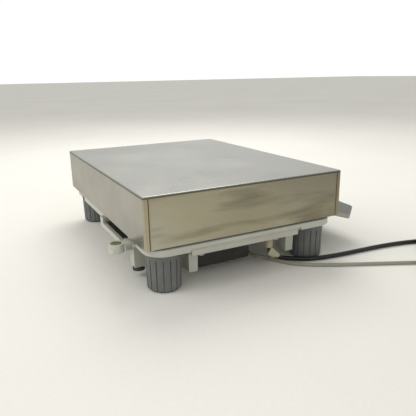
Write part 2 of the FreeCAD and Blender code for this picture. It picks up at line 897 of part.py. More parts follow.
def base_sketch(body, lift):
    """A sketch along the console's base and square to its screws, its origin at the rear edge."""
    y = -value(S.console_rear) - lift * math.sin(BASE_SLOPE)
    z = value(S.console_base_rear) + lift * math.cos(BASE_SLOPE)
    return sketch_on(body, tilt=math.degrees(BASE_SLOPE), origin=(y, z))


def along_base(y):
    """Where a place in front of the pan lies on a base sketch."""
    return -(y - value(S.console_rear)) / math.cos(BASE_SLOPE)


def lift_to(height, y):
    """Distance from the console's base, square to it, to one of its long lines."""
    fall = height(0) - height(1)
    return (height(y) - base_height(y)) / (math.cos(BASE_SLOPE) + math.sin(BASE_SLOPE) * fall)


def boss_rows(body, low, high):
    """Screw bosses at the console's corners, between two lifts worked out for each row."""
    for y in SCREW_ROWS:
        bosses = base_sketch(body, low(y))
        for x in (-SCREW_X, SCREW_X):
            add_circle(bosses, x, along_base(y), 4)
        pad(body, bosses, high(y) - low(y))


def screw_holes(body, low, depth, radius):
    holes = base_sketch(body, low)
    for y in SCREW_ROWS:
        for x in (-SCREW_X, SCREW_X):
            add_circle(holes, x, along_base(y), radius)
    pocket(body, holes, depth, back=True)


def console_upper_shell():
    body = new_body("console_upper_shell")
    rear = -S.console_rear
    profile = [
        (rear, S.console_top_rear),
        (-S.console_front, S.console_top_front),
        (-S.console_front_part, S.console_part_front),
        (rear, S.console_part_rear),
    ]
    pad(body, add_outline(sketch_on(body, "YZ_Plane"), profile), S.console_long, both_ways=True)
    fillet(body, 14, console_corner)
    fillet(body, 3, lambda m, t: m.z > part_height(-m.y) + 4)
    w = value(S.console_wall)
    back, front = value(S.console_rear) + w, value(S.console_front) - w
    inner = [
        (-back, top_height(back) - 1.1 * w),
        (-front, top_height(front) - 1.1 * w),
        (-front + 0.9 * w, part_height(front) - 8),
        (-back, part_height(back) - 2),
    ]
    room = add_outline(sketch_on(body, "YZ_Plane"), inner)
    pocket(body, room, S.console_long - 2 * S.console_wall - 8, both_ways=True)
    boss_rows(body, lambda y: lift_to(part_height, y) + 0.4, lambda y: lift_to(top_height, y) - 1)
    screw_holes(body, 4, 14, 1.55)
    x0, y0, long, wide = WINDOW
    rebate = add_outline(face_sketch(body), rectangle(x0, y0, x0 + long, y0 + wide))
    pocket(body, rebate, 1.5)
    edge = 3
    sight = rectangle(x0 + edge, y0 + edge, x0 + long - edge, y0 + wide - edge)
    pocket(body, add_outline(face_sketch(body), sight), 6)
    openings = face_sketch(body)
    half_long, half_wide = S.key_long / 2 + 0.35, S.key_wide / 2 + 0.35
    for x in key_places():
        low, high = KEY_LINE - half_wide, KEY_LINE + half_wide
        add_outline(openings, rectangle(x - half_long, low, x + half_long, high))
    pocket(body, openings, 6)
    node(body, "console_upper_shell")


def console_corner(middle, along):
    return abs(abs(middle.x) - value(S.console_long / 2)) < 0.1 and middle.y < -225


def console_lower_shell():
    body = new_body("console_lower_shell")
    rear = -S.console_rear
    profile = [
        (rear, S.console_part_rear),
        (-S.console_front_part, S.console_part_front),
        (-S.console_front_base, S.console_base_front),
        (rear, S.console_base_rear),
    ]
    pad(body, add_outline(sketch_on(body, "YZ_Plane"), profile), S.console_long, both_ways=True)
    fillet(body, 14, console_corner)
    fillet(body, 2, lambda m, t: m.z < base_height(-m.y) + 0.3 and m.y < -156)
    w = value(S.console_wall)
    back, front = value(S.console_rear) + w, value(S.console_front_base) - w
    inner = [
        (-back, part_height(back) + 3),
        (-front, part_height(front) + 3),
        (-front, base_height(front) + w),
        (-back, base_height(back) + w),
    ]
    room = add_outline(sketch_on(body, "YZ_Plane"), inner)
    pocket(body, room, S.console_long - 2 * S.console_wall - 8, both_ways=True)
    boss_rows(body, lambda y: 1, lambda y: lift_to(part_height, y) - 0.4)
    seats = base_sketch(body, 1)
    for x in bracket_places():
        add_circle(seats, x, along_base(SHELF_Y), 4)
    pad(body, seats, 4.5)
    screw_holes(body, -2, 12, 1.55)
    holes = base_sketch(body, -2)
    for x in bracket_places():
        add_circle(holes, x, along_base(SHELF_Y), 2.05)
    pocket(body, holes, 12, back=True)
    node(body, "console_lower_shell")


def key_places():
    return [FIRST_KEY + KEY_PITCH * i for i in range(len(KEYS))]


def bracket_places():
    return [side * x for side in (-1, 1) for x in BRACKET_X]


def face_slab(label, corner, long, wide, thick):
    """A flat box that lies along the console's face."""
    made = doc.addObject("Part::Box", label)
    made.Length, made.Width, made.Height = long, wide, thick
    node(made, label, *on_face(*corner), FACE_TURN)


def console_fittings():
    x0, y0, long, wide = WINDOW
    face_slab("display_window", (x0 + 0.1, y0 + 0.1, -1.5), long - 0.2, wide - 0.2, 1.4)
    face_slab("display_module", (x0 + 5, y0 + 5, -9.5), long - 10, wide - 10, 5.5)
    keys = key_places()
    start = keys[0] - value(S.key_long) / 2 - 1
    span = keys[-1] - keys[0] + value(S.key_long) + 2
    face_slab("keypad_board", (start, KEY_LINE - 9, -9.2), span, 18, 1.6)


def key(label, x):
    """A cap standing 1.2 mm proud, a flange that keeps it in, and a stem over its switch."""
    body = new_body(label)
    cap = add_outline(sketch_on(body, offset=-4), centred(S.key_long, S.key_wide))
    pad(body, cap, 5.2)
    fillet(body, 3, upright)
    fillet(body, 0.8, at_height(1.2))
    flange = centred(S.key_long + 2.4, S.key_wide + 2.4)
    pad(body, add_outline(sketch_on(body, offset=-4), flange), 1)
    stem = add_circle(sketch_on(body, offset=-4), 0, 0, 3)
    pad(body, stem, 2.3, back=True)
    node(body, label, *on_face(x, KEY_LINE, 0), FACE_TURN)


def console_screws():
    rear = (0, -S.console_rear, S.console_base_rear)
    corners = [(x, along_base(y)) for y in SCREW_ROWS for x in (-SCREW_X, SCREW_X)]
    made = [screw(x, y, 0, 1.5, 16, 3, 2.2) for x, y in corners]
    node(group(made), "console_screws", *rear, BASE_TURN)
    seat = -value(S.bracket_thick) * math.cos(BASE_SLOPE)
    made = [screw(x, along_base(SHELF_Y), seat, 2, 8.5, 3.5, 2.5) for x in bracket_places()]
    node(group(made), "shelf_screws", *rear, BASE_TURN)


def console_bracket():
    """Bent plate: a flange on the rim and a shelf under the console."""
    body = new_body("console_bracket")
    thick = value(S.bracket_thick)
    tier = S.tier_inset - S.rim_front
    rear = -S.console_rear
    flange = value(S.console_rear) + 3
    shelf = value(S.console_rear) + 50
    profile = [
        (tier, S.tier_base + 0.5),
        (tier, S.lip_base - 0.5),
        (rear, S.lip_base - 0.5),
        (rear, S.console_base_rear),
        (-shelf, base_height(shelf)),
        (-shelf, base_height(shelf) - thick),
        (-flange, base_height(flange) - thick),
        (-flange, S.tier_base + 0.5),
    ]
    pad(body, add_outline(sketch_on(body, "YZ_Plane"), profile), 2 * BRACKET_X[-1] + 30, both_ways=True)
    rim, shelf = sketch_on(body, "XZ_Plane", offset=-tier - 1), base_sketch(body, -thick - 2)
    for x in bracket_places():
        add_circle(rim, x, BRACKET_Z, 2.05)
        add_circle(shelf, x, along_base(SHELF_Y), 2.05)
    pocket(body, rim, 7.5, back=True)
    pocket(body, shelf, thick + 4, back=True)
    node(body, "console_bracket")
    # these screws are driven from inside the casting
    seat = tier + S.wall
    made = []
    for x in bracket_places():
        shank = lying_rod((x, seat, BRACKET_Z), 10, 2, (0, -1, 0))
        head = lying_rod((x, seat, BRACKET_Z), 2.5, 3.5, (0, 1, 0))
        made.append(fuse([shank, head]))
    node(group(made), "bracket_screws")


# --- levelling feet ------------------------------------------------------------------------------


def levelling_foot(corner, sx, sy):
    x, y = foot_centre(sx, sy)
    body = new_body(f"foot_knob_{corner}")
    r = S.knob_radius
    profile = [
        (S.stud_radius + 0.05, S.sole_height + 0.1),
        (S.sole_radius + 0.4, S.sole_height + 0.1),
        (S.sole_radius + 0.4, S.knob_base),
        (r - 1, S.knob_base),
        (r, S.flute_top + 1),
        (r, S.knob_top),
        (S.stud_radius + 0.05, S.knob_top),
    ]
    section = add_outline(sketch_on(body, "XZ_Plane"), profile)
    turned = body.newObject("PartDesign::Revolution", "turned")
    turned.Profile = section
    turned.ReferenceAxis = (section, ["V_Axis"])
    turned.Angle = 360
    doc.recompute()
    fillet(body, 2, lambda m, t: abs(m.z - value(S.knob_base)) < 0.01 and math.hypot(m.x, m.y) > 22)
    flute = rectangle(r - 1.9, -0.7, r + 1, 0.7)
    cutter = add_outline(sketch_on(body, offset=S.knob_base), flute)
    groove = pocket(body, cutter, S.flute_top - S.knob_base, back=True)
    ring = body.newObject("PartDesign::PolarPattern", "flutes")
    ring.Originals = [groove]
    ring.Axis = ([f for f in body.Origin.OriginFeatures if f.Role == "Z_Axis"][0], [""])
    ring.Angle = 360
    ring.Occurrences = SIZES["flute_count"]
    body.Tip = ring
    doc.recompute()
    node(body, f"foot_knob_{corner}", x, y)
    stud = rod(x, y, S.stud_base, S.stud_base + S.stud_length, S.stud_radius)
    node(stud, f"foot_stud_{corner}", x, y, S.stud_base)
    sole = rod(x, y, 0, S.sole_height, S.sole_radius)
    node(sole, f"foot_sole_{corner}", x, y, 0)


# --- cords ---------------------------------------------------------------------------------------


def rounded_path(points):
    """Straight runs joined by tangent arcs, each as large as its two runs allow."""
    points = [Vector(*p) for p in points]
    edges, radii, last = [], [], points[0]
    for before, here, after in zip(points, points[1:], points[2:]):
        way_in, way_out = (here - before), (after - here)
        short = min(way_in.Length, way_out.Length)
        way_in.normalize()
        way_out.normalize()
        turn = way_in.getAngle(way_out)
        setback = 0.45 * short
        radius = setback / math.tan(turn / 2)
        start, end = here - way_in * setback, here + way_out * setback
        inward = (way_out - way_in).normalize()
        centre = here + inward * (radius / math.cos(turn / 2))
        middle = centre + (here - centre).normalize() * radius
        edges.append(Part.LineSegment(last, start).toShape())
        edges.append(Part.Arc(start, middle, end).toShape())
        radii.append(radius)
        last = end
    edges.append(Part.LineSegment(last, points[-1]).toShape())
    return Part.Wire(edges), radii


def cord_tube(points, diameter, label):
    """A round tube along a path, checked against its section times its length."""
    wire, radii = rounded_path(points)
    first = Vector(*points[1]) - Vector(*points[0])
    circle = Part.Circle(Vector(*points[0]), first, diameter / 2).toShape()
    tube = wire.makePipeShell([Part.Wire([circle])], True, True)
    expected = math.pi * diameter**2 / 4 * wire.Length
    print(f"{label}: {wire.Length:.1f} mm, radii", " ".join(f"{r:.0f}" for r in radii))
    print(f"{label}: volume {tube.Volume / expected:.4f} of section times length")
    return tube


def coil_solid(centre, diameter):
    """The outer shape of a wound coil, three turns wide and two turns high."""
    mean = COIL_RADIUS_IN_CORDS * diameter
    base = Vector(centre[0], centre[1], 0)
    outer = Part.makeCylinder(mean + 1.5 * diameter, 2 * diameter, base)
    ring = outer.cut(Part.makeCylinder(mean - 1.5 * diameter, 2 * diameter, base))
    return ring.makeFillet(diameter * 0.4, ring.Edges)


def shape_node(shape, label):
    made = doc.addObject("Part::Feature", label)
    made.Shape = shape
    return node(made, label)


def coiled_cord(label, route, centre, diameter, rest):
    """The visible run, and its coil with the short tail that drops to the height of its plug."""
    mean = COIL_RADIUS_IN_CORDS * diameter
    shape_node(cord_tube(route, diameter, label), label)
    x = centre[0] - 0.2 * mean
    y = centre[1] - mean - diameter
    z = 1.5 * diameter
    step = TAIL_IN_CORDS * diameter / 4
    tail = []
    for i, fallen in enumerate((0, 0.08, 0.45, 0.88, 1)):
        tail.append((x - i * step, y - 0.2 * i, z - fallen * (z - rest)))
    tail[0] = (x, y + 0.2 * diameter, z - 0.15 * diameter)
    coil = coil_solid(centre, diameter).fuse([cord_tube(tail, diameter, f"{label} tail")])
    shape_node(coil.removeSplitter(), f"{label}_coil")
    return tail[-1]


def power_cord():
    diameter = SIZES["mains_cord"]
    x, y, z = MAINS_ROUTE[0]
    low = z - 0.5
    high = SIZES["tier_base"] - SIZES["cover_thick"]
    body = fuse(
        [
            rod(x, y, low, high - 8, 5.5),
            rod(x, y, high - 8, high, 8),
        ]
    )
    node(cut(body, [rod(x, y, low - 1, low + 8, diameter / 2 + 0.05)]), "power_gland")
    end = coiled_cord("power_cord", MAINS_ROUTE, MAINS_COIL, diameter, 7.5)
    power_plug(end, diameter)


def power_plug(end, diameter):
    """Two-pin plug lying flat: a tapered neck, a rounded grip and two pins."""
    x, y, z = end
    neck = Part.makeCone(4.2, 7, 20, Vector(x, y, z), Vector(-1, 0, 0))
    bore = Part.makeCylinder(diameter / 2, 1, Vector(x, y, z), Vector(-1, 0, 0))
    grip = Part.makeBox(26, 26, 15, Vector(x - 44, y - 13, z - 7.5))
    grip = grip.makeFillet(5, [e for e in grip.Edges if abs(e.tangentAt(0).x) > 0.9])
    pins = [
        Part.makeCylinder(2.4, 19, Vector(x - 44, y + side * 9.5, z), Vector(-1, 0, 0))
        for side in (-1, 1)
    ]
    shape_node(neck.cut(bore).fuse([grip]).removeSplitter(), "power_plug")
    shape_node(Part.makeCompound(pins), "power_plug_pins")


def data_cable():
    diameter = SIZES["data_cord"]
    x, y, z = DATA_ROUTE[0]
    wall = -SIZES["tray_front"]
    sleeve = Part.makeCone(5.5, 4, wall - y, Vector(x, wall, z), Vector(0, -1, 0))
    nose = Part.makeCylinder(3.5, 2, Vector(x, wall + 2, z), Vector(0, -1, 0))
    bore = Part.makeCylinder(diameter / 2 + 0.05, 6, Vector(x, y - 1, z), Vector(0, 1, 0))
    shape_node(sleeve.fuse(nose).cut(bore), "data_gland")
    end = coiled_cord("data_cable", DATA_ROUTE, DATA_COIL, diameter, 5.5)
    x, y, z = end
    hood = Part.makeBox(30, 18, 11, Vector(x - 36, y - 9, z - 5.5))
    hood = hood.makeFillet(3, [e for e in hood.Edges if abs(e.tangentAt(0).x) > 0.9])
    neck = Part.makeCone(3.4, 4.6, 8, Vector(x, y, z), Vector(-1, 0, 0))
    shell = Part.makeBox(7, 14, 6, Vector(x - 43, y - 7, z - 3))
    shape_node(hood.fuse(neck), "data_plug")
    shape_node(shell, "data_plug_shell")


def cord_clip():
    """Nylon clip round the mains cord, with a flat tab that widens downwards."""
    tab_x = -177.6
    outline = [(-46, 25.5), (-49, 25.2), (-62.5, 12), (-58.5, 8.3), (-40.8, 16.2)]
    wire = Part.makePolygon([Vector(tab_x, y, z) for y, z in outline + outline[:1]])
    tab = Part.Face(wire).extrude(Vector(-2, 0, 0))
    above, below = Vector(*MAINS_ROUTE[2]), Vector(*MAINS_ROUTE[3])
    run = below - above
    start = above + run * 0.15
    long = run.Length * 0.7
    ring = Part.makeCylinder(5.7, long, start, run)
    bore = Part.makeCylinder(3.5, 3 * long, start - run, run)
    shape_node(tab.fuse(ring).cut(bore), "cord_clip")


# --- make it -------------------------------------------------------------------------------------


def export():
    doc.recompute()
    for obj in doc.Objects:
        if {"Invalid", "Error"} & set(obj.State):
            raise RuntimeError(f"{obj.Label} is {obj.State}")
    os.makedirs("parts", exist_ok=True)
    for obj in subparts:
        if obj.Shape.isNull() or not obj.Shape.isValid():
            raise RuntimeError(f"{obj.Label} has no valid shape")
    for obj in subparts:
        obj.Shape.exportStep(f"parts/{obj.Label}.step")
    whole = Part.makeCompound([o.Shape for o in subparts])
    print(len(subparts), "sub-parts,", whole.BoundBox)


load_pan()
load_cell()
cell_plate_and_bolts()
pan_support()
pan_buffers()
overload_stops()
base_casting()
bottom_cover()
cover_screws()
foot_bushes()
underside_bumper()
electronics_tray()
tray_screws()
circuit_board()
power_transformer()
connector_panel()
spirit_level()
console_upper_shell()
console_lower_shell()
console_fittings()
for key_name, key_x in zip(KEYS, key_places()):
    key(key_name, key_x)
console_screws()
console_bracket()
for name, (sign_x, sign_y) in CORNERS.items():
    levelling_foot(name, sign_x, sign_y)
power_cord()
data_cable()
cord_clip()
export()
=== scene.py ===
import json
import math

import bpy
from mathutils import Matrix, Vector


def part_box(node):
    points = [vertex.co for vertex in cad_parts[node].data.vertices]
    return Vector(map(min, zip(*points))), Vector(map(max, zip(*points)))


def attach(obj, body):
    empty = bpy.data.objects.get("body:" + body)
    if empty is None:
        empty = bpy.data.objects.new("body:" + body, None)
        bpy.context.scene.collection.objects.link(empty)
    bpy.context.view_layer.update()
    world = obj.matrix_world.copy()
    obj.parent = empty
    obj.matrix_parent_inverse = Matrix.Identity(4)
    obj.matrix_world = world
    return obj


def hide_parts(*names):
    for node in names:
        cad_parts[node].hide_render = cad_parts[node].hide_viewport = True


# Looks of the animal weighing scale. Metres, +Z up, the operator's side at -Y.

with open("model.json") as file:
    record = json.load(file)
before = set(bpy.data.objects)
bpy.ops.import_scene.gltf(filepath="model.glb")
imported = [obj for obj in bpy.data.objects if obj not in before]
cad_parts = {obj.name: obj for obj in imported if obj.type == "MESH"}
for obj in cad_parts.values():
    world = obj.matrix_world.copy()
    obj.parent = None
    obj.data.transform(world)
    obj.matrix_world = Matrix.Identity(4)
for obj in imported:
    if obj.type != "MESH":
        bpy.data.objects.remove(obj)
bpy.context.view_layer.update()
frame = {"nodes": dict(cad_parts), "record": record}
nodes = frame["nodes"]

pan_low, pan_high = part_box("load_pan")
PAN = (pan_low + pan_high) / 2


# --- camera, light and floor -------------------------------------------------------------------

EYE = Vector((-0.6907, 0.3445, 0.2663))
AHEAD = Vector((0.8538, -0.4404, -0.2777))
RIGHT = Vector((-0.4625, -0.8865, -0.0162))
LENS_MM = 40.17
SENSOR_MM = 36

# Each light's place, what it points at, its diameter, its watts and its colour.
KEY = ((0.85, -0.4, 1.4), (0, 0, 0.05), 1.2, 13, (1, 0.995, 0.97))
FILL = ((0.1, 1.6, 1.3), (0, 0.3, 0.05), 1.2, 11, (1, 1, 1))

# The studio's strength goes from one value to the other between these heights of a direction.
STUDIO_COLOUR = (1, 1, 0.985, 1)
STUDIO_FADE = {"From Min": 0.12, "From Max": 0.75, "To Min": 1.03, "To Max": 0.52}

FLOOR_SIZE = 40
FLAG_PLACE = (-0.78, -0.55, 0.012)
FLAG_SIZE = (1.05, 1.3, 1)


def add_camera():
    data = bpy.data.cameras.new("camera")
    data.lens = LENS_MM
    data.sensor_width = SENSOR_MM
    camera = bpy.data.objects.new("camera", data)
    up = RIGHT.cross(AHEAD)
    camera.matrix_world = Matrix.Translation(EYE) @ Matrix((RIGHT, up, -AHEAD)).transposed().to_4x4()
    bpy.context.scene.collection.objects.link(camera)
    bpy.context.scene.camera = camera


def add_area_light(name, place, target, size, watts, colour):
    data = bpy.data.lights.new(name, "AREA")
    data.shape = "DISK"
    data.size = size
    data.energy = watts
    data.color = colour
    light = bpy.data.objects.new(name, data)
    light.location = place
    light.rotation_euler = (Vector(target) - Vector(place)).to_track_quat("-Z", "Y").to_euler()
    bpy.context.scene.collection.objects.link(light)


def add_world():
    """A white studio: bright low down all round, dimmer overhead."""
    world = bpy.data.worlds.new("studio")
    bpy.context.scene.world = world
    world.use_nodes = True
    tree = world.node_tree
    background = tree.nodes["Background"]
    background.inputs["Color"].default_value = STUDIO_COLOUR
    way = tree.nodes.new("ShaderNodeTexCoord")
    split = tree.nodes.new("ShaderNodeSeparateXYZ")
    fade = tree.nodes.new("ShaderNodeMapRange")
    for socket, number in STUDIO_FADE.items():
        fade.inputs[socket].default_value = number
    tree.links.new(way.outputs["Generated"], split.inputs["Vector"])
    tree.links.new(split.outputs["Z"], fade.inputs["Value"])
    tree.links.new(fade.outputs["Result"], background.inputs["Strength"])


def add_floor():
    floor = plane("floor", FLOOR_SIZE, (0, 0, 0))
    floor.data.materials.append(floor_cloth())
    # a hidden grey sheet on the cord side: it shows only in reflections, and darkens the steel's
    flag = plane("flag", 1, FLAG_PLACE)
    flag.scale = FLAG_SIZE
    flag.data.materials.append(painted_reflection_cloth())
    flag.visible_camera = False
    flag.visible_shadow = False
    flag.visible_diffuse = False


def plane(name, size, place):
    mesh = bpy.data.meshes.new(name)
    half = size / 2
    corners = [(-half, -half, 0), (half, -half, 0), (half, half, 0), (-half, half, 0)]
    mesh.from_pydata(corners, [], [(0, 1, 2, 3)])
    made = bpy.data.objects.new(name, mesh)
    made.location = place
    bpy.context.scene.collection.objects.link(made)
    return made


# --- material building blocks --------------------------------------------------------------------


# The Mix node's colour sockets, which share their names with its number and vector ones.
MIX_A, MIX_B, MIX_OUT = 6, 7, 2
# Pointiness on a blunt edge and on a sharp one.
BLUNT, SHARP = 0.54, 0.62


class Look:
    """A material under construction: a Principled shader and the nodes that feed it."""

    def __init__(self, name, roughness=0.5, metallic=0.0, **sockets):
        self.material = bpy.data.materials.new(name)
        self.material.use_nodes = True
        self.tree = self.material.node_tree
        self.shader = self.tree.nodes["Principled BSDF"]
        self.shader.inputs["Roughness"].default_value = roughness
        self.shader.inputs["Metallic"].default_value = metallic
        for socket, number in sockets.items():
            self.shader.inputs[socket.replace("_", " ")].default_value = number
        self.place = self.node("ShaderNodeTexCoord").outputs["Object"]

    def node(self, kind, **settings):
        made = self.tree.nodes.new(kind)
        for setting, number in settings.items():
            setattr(made, setting, number)
        return made

    def link(self, output, socket):
        self.tree.links.new(output, socket)

    def stretched(self, scale, turn=(0, 0, 0)):
        """The object's own coordinates, scaled differently along each axis."""
        mapping = self.node("ShaderNodeMapping")
        mapping.inputs["Scale"].default_value = scale
        mapping.inputs["Rotation"].default_value = turn
        self.link(self.place, mapping.inputs["Vector"])
        return mapping.outputs["Vector"]

    def noise(self, scale, detail=4, rough=0.55, place=None):
        made = self.node("ShaderNodeTexNoise")
        made.inputs["Scale"].default_value = scale
        made.inputs["Detail"].default_value = detail
        made.inputs["Roughness"].default_value = rough
        self.link(place or self.place, made.inputs["Vector"])
        return made.outputs["Fac"]

    def range(self, value, low, high, to_low=0.0, to_high=1.0):
        made = self.node("ShaderNodeMapRange")
        self.link(value, made.inputs["Value"])
        sockets = ("From Min", "From Max", "To Min", "To Max")
        for socket, number in zip(sockets, (low, high, to_low, to_high)):
            made.inputs[socket].default_value = number
        return made.outputs["Result"]

    def math(self, operation, a, b):
        made = self.node("ShaderNodeMath", operation=operation)
        for socket, given in zip(made.inputs, (a, b)):
            if isinstance(given, (int, float)):
                socket.default_value = given
            else:
                self.link(given, socket)
        return made.outputs["Value"]

    def mix(self, factor, a, b, blend="MIX"):
        """A blend of two colours, each a triple or another node's output."""
        made = self.node("ShaderNodeMix", data_type="RGBA", blend_type=blend)
        self.link(factor, made.inputs["Factor"])
        for socket, given in ((made.inputs[MIX_A], a), (made.inputs[MIX_B], b)):
            if isinstance(given, tuple):
                socket.default_value = (*given, 1)
            else:
                self.link(given, socket)
        return made.outputs[MIX_OUT]

    def creases(self, distance):
        """1 in the open, falling to 0 deep in a corner."""
        made = self.node("ShaderNodeAmbientOcclusion", samples=4)
        made.inputs["Distance"].default_value = distance
        return made.outputs["AO"]

    def edges(self):
        """1 on sharp outer edges."""
        pointiness = self.node("ShaderNodeNewGeometry").outputs["Pointiness"]
        return self.range(pointiness, BLUNT, SHARP)

    def colour(self, output):
        self.link(output, self.shader.inputs["Base Color"])

    def rough(self, output):
        self.link(output, self.shader.inputs["Roughness"])

    def bump(self, height, strength, distance=0.001):
        made = self.node("ShaderNodeBump")
        made.inputs["Strength"].default_value = strength
        made.inputs["Distance"].default_value = distance
        self.link(height, made.inputs["Height"])
        self.link(made.outputs["Normal"], self.shader.inputs["Normal"])


def floor_cloth():
    """Pale woven cloth: wide soft patches, crossing threads and low folds."""
    look = Look("floor_cloth", 0.85)
    wide = look.range(look.noise(1.6, 3), 0.3, 0.7)
    tint = look.mix(wide, (0.845, 0.825, 0.76), (0.885, 0.87, 0.815))
    weave = look.noise(1, 2, 0.5, look.stretched((160, 900, 1)))
    cross = look.noise(1, 2, 0.5, look.stretched((900, 160, 1)))
    thread = look.range(look.math("ADD", weave, cross), 0.85, 1.15, 0.0, 0.10)
    look.colour(look.mix(thread, tint, (0.62, 0.60, 0.53)))
    look.bump(look.noise(9, 5), 0.2, 0.01)
    return look.material


def painted_reflection_cloth():
    """Warm grey, darker towards the operator's side: a painted reflection, seen only in the steel."""
    look = Look("painted_reflection_cloth", 0.9)
    split = look.node("ShaderNodeSeparateXYZ")
    look.link(look.place, split.inputs["Vector"])
    depth = look.range(split.outputs["Y"], -0.3, 0.5)
    look.colour(look.mix(depth, (0.11, 0.10, 0.08), (0.78, 0.72, 0.52)))
    return look.material


def pan_steel():
    """Satin stainless: smears along the sides, scuffs on top, tarnished lap seams, a painted dark
    reflection along the top folds and painted shade on the sides.
    """
    look = Look("pan_steel", 0.25, 1.0)
    look.shader.inputs["Specular Tint"].default_value = (0.72, 0.72, 0.72, 1)
    part = look.node("ShaderNodeSeparateXYZ")
    look.link(look.node("ShaderNodeTexCoord").outputs["Generated"], part.inputs["Vector"])
    # each runs from 0 to 1 over the pan's own box
    along, across, up = part.outputs
    from_end = look.math("ABSOLUTE", look.math("SUBTRACT", along, 0.5), 0)
    from_side = look.math("ABSOLUTE", look.math("SUBTRACT", across, 0.5), 0)
    painted_shade_sides = look.range(up, 0.97, 0.94)
    end = look.math("MULTIPLY", look.range(from_end, 0.493, 0.496), painted_shade_sides)

    cloudy = look.range(look.noise(5, 2, 0.5, look.stretched((1, 1.2, 3), (0, 0, 0.5))), 0.3, 0.7)
    top = look.mix(cloudy, (0.52, 0.52, 0.485), (0.44, 0.44, 0.405))
    # the sides get a darker, warmer colour than the top: painted shade
    tint = look.mix(painted_shade_sides, top, look.mix(cloudy, (0.49, 0.48, 0.425), (0.41, 0.40, 0.35)))
    smear = look.range(look.noise(1, 3, 0.5, look.stretched((5, 6, 42))), 0.50, 0.66)
    smeared = look.math("MULTIPLY", look.math("MULTIPLY", smear, end), 0.6)
    tint = look.mix(smeared, tint, (0.18, 0.17, 0.145))
    scuff = look.range(look.noise(22, 1, 0.4), 0.45, 0.85)
    tint = look.mix(look.math("MULTIPLY", scuff, 0.2), tint, (0.28, 0.27, 0.235))
    near_seam = look.range(from_side, 0.462, 0.474, 0, 0.7)
    tint = look.mix(look.math("MULTIPLY", near_seam, end), tint, (0.42, 0.37, 0.27))
    seam = look.range(look.math("ABSOLUTE", look.math("SUBTRACT", from_side, 0.4765), 0), 0.0028, 0.0014)
    tint = look.mix(look.math("MULTIPLY", seam, end), tint, (0.13, 0.10, 0.06))
    # a near-black band just under the top: a painted reflection of the folds
    painted_fold_reflection = look.math("MULTIPLY", look.range(up, 0.945, 0.962), look.range(up, 0.995, 0.982))
    look.colour(look.mix(look.math("MULTIPLY", painted_fold_reflection, 0.8), tint, (0.06, 0.055, 0.045)))

    rough = look.range(look.noise(5, 1), 0.3, 0.7, 0.24, 0.34)
    look.rough(look.math("ADD", rough, look.math("MULTIPLY", scuff, 0.08)))
    return look.material


def enamel(name, tint, shade, roughness=0.42):
    """Stove enamel on a casting: orange peel, painted shade in the corners, paler edges."""
    look = Look(name, roughness)
    cloud = look.range(look.noise(14, 5), 0.3, 0.7)
    base = look.mix(cloud, tint, shade)
    worn = look.math("MULTIPLY", look.edges(), look.range(look.noise(120, 6), 0.45, 0.6))
    base = look.mix(look.math("MULTIPLY", worn, 0.35), base, tuple(min(1, c * 1.25) for c in tint))
    # darker deep in corners and creases, found by occlusion: painted shade, made patchy by a noise
    crease_shade = look.range(look.creases(0.012), 0.35, 0.95, 0.55, 0.0)
    patchy_crease_shade = look.math("MULTIPLY", crease_shade, look.range(look.noise(70, 6), 0.2, 0.65, 0.4, 1))
    look.colour(look.mix(patchy_crease_shade, base, tuple(c * 0.32 for c in shade)))
    look.rough(look.range(look.noise(40, 4), 0.3, 0.7, roughness - 0.06, roughness + 0.1))
    look.bump(look.noise(900, 2), 0.12, 0.0003)
    return look.material


def moulded(name, tint, roughness=0.5, grain=1500, relief=0.15, dust=0.12):
    """Moulded plastic or rubber with a fine grain and a little dust."""
    look = Look(name, roughness)
    dusty = look.range(look.noise(45, 6, 0.65), 0.45, 0.75, 0, dust)
    pale = tuple(min(1, c * 0.7 + 0.16) for c in tint)
    base = look.mix(dusty, tint, pale)
    rub = look.math("MULTIPLY", look.edges(), 0.3)
    look.colour(look.mix(rub, base, tuple(min(1, c * 1.5 + 0.03) for c in tint)))
    look.rough(look.range(look.noise(60, 4), 0.3, 0.7, roughness - 0.07, roughness + 0.1))
    look.bump(look.noise(grain, 3), relief, 0.0003)
    return look.material


def metal(name, tint, roughness, stain=0.3, grain=(400, 400, 400)):
    """Bare or plated metal with a turned or rolled grain and some stains."""
    look = Look(name, roughness, 1.0)
    cloud = look.range(look.noise(55, 6, 0.65), 0.4, 0.75, 0, stain)
    look.colour(look.mix(cloud, tint, tuple(c * 0.5 for c in tint)))
    look.rough(look.range(look.noise(120, 4), 0.3, 0.7, roughness - 0.08, roughness + 0.12))
    look.bump(look.noise(1, 5, 0.6, look.stretched(grain)), 0.08, 0.0003)
    return look.material


def glass(name, tint, alpha, roughness=0.06):
    look = Look(name, roughness, Alpha=alpha)
    cloud = look.range(look.noise(90, 5), 0.4, 0.8, 0, 0.3)
    look.colour(look.mix(cloud, tint, tuple(min(1, c * 1.3 + 0.02) for c in tint)))
    return look.material


def laminate():
    """Green circuit board with a regular pattern of tracks."""
    look = Look("board_laminate", 0.4)
    tracks = look.node("ShaderNodeTexBrick")
    tracks.inputs["Scale"].default_value = 90
    tracks.inputs["Mortar Size"].default_value = 0.03
    tracks.inputs["Color1"].default_value = (0.02, 0.13, 0.05, 1)
    tracks.inputs["Color2"].default_value = (0.025, 0.16, 0.06, 1)
    tracks.inputs["Mortar"].default_value = (0.10, 0.30, 0.12, 1)
    look.link(look.place, tracks.inputs["Vector"])
    look.colour(tracks.outputs["Color"])
    return look.material


